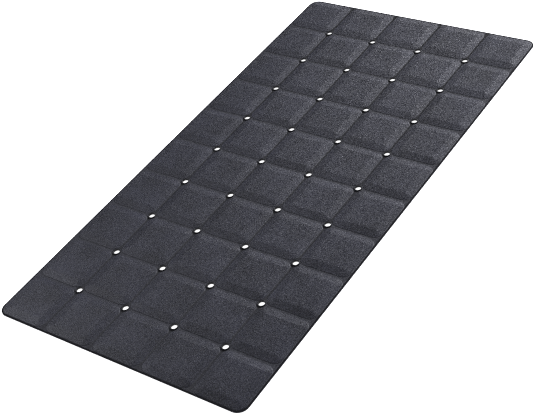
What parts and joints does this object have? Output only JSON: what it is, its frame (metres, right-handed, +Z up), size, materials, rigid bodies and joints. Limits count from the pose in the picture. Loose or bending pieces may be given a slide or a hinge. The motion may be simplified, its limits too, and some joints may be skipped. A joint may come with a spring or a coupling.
{
  "type": "seedling heat mat",
  "caption": "Thin flexible black heat mat with raised square pads, drain holes where the creases between them cross, a sealed edge and a lead socket on the underside.",
  "frame": {"origin": "middle of the underside, on the bench plane", "axes": "+X across the mat, +Y along it towards the end away from the lead socket, +Z up out of the pads"},
  "size_m": [0.255, 0.499, 0.0028],
  "materials": {
    "cover": "matt, fine grain",
    "base": "matt, fine anti-slip texture",
    "seal": "smooth satin",
    "grommet": "smooth satin",
    "foam": "closed-cell foam, matt",
    "film_lower": "clear amber film",
    "film_upper": "clear amber film",
    "element": "rolled resistance foil",
    "foil": "rolled foil",
    "socket": "moulded, fine texture",
    "gasket": "moulded silicone",
    "contact": "turned",
    "strip": null,
    "crimp": "tinned",
    "cutout": "drawn can"
  },
  "bodies": {
    "root": {"top_cover": "cover", "base_cover": "base", "edge_seal": "seal", "insulation_sheet": "foam", "element_base_film": "film_lower", "element_top_film": "film_upper", "heating_element": "element", "heat_spreader": "foil", "socket_body": "socket", "socket_gasket": "gasket", "socket_contact_1": "contact", "socket_contact_2": "contact", "lead_strip_1": "strip", "lead_strip_2": "strip", "lead_strip_3": "strip", "crimp_sleeve_1": "crimp", "crimp_sleeve_2": "crimp", "thermal_cutout": "cutout", "drain_grommet_r1_c1": "grommet", "drain_grommet_r1_c2": "grommet", "drain_grommet_r1_c3": "grommet", "drain_grommet_r1_c4": "grommet", "drain_grommet_r2_c1": "grommet", "drain_grommet_r2_c2": "grommet", "drain_grommet_r2_c3": "grommet", "drain_grommet_r2_c4": "grommet", "drain_grommet_r3_c1": "grommet", "drain_grommet_r3_c2": "grommet", "drain_grommet_r3_c3": "grommet", "drain_grommet_r3_c4": "grommet", "drain_grommet_r4_c1": "grommet", "drain_grommet_r4_c2": "grommet", "drain_grommet_r4_c3": "grommet", "drain_grommet_r4_c4": "grommet", "drain_grommet_r5_c1": "grommet", "drain_grommet_r5_c2": "grommet", "drain_grommet_r5_c3": "grommet", "drain_grommet_r5_c4": "grommet", "drain_grommet_r6_c1": "grommet", "drain_grommet_r6_c2": "grommet", "drain_grommet_r6_c3": "grommet", "drain_grommet_r6_c4": "grommet", "drain_grommet_r7_c1": "grommet", "drain_grommet_r7_c2": "grommet", "drain_grommet_r7_c3": "grommet", "drain_grommet_r7_c4": "grommet", "drain_grommet_r8_c1": "grommet", "drain_grommet_r8_c2": "grommet", "drain_grommet_r8_c3": "grommet", "drain_grommet_r8_c4": "grommet", "drain_grommet_r9_c1": "grommet", "drain_grommet_r9_c2": "grommet", "drain_grommet_r9_c3": "grommet", "drain_grommet_r9_c4": "grommet"}
  },
  "joints": []
}
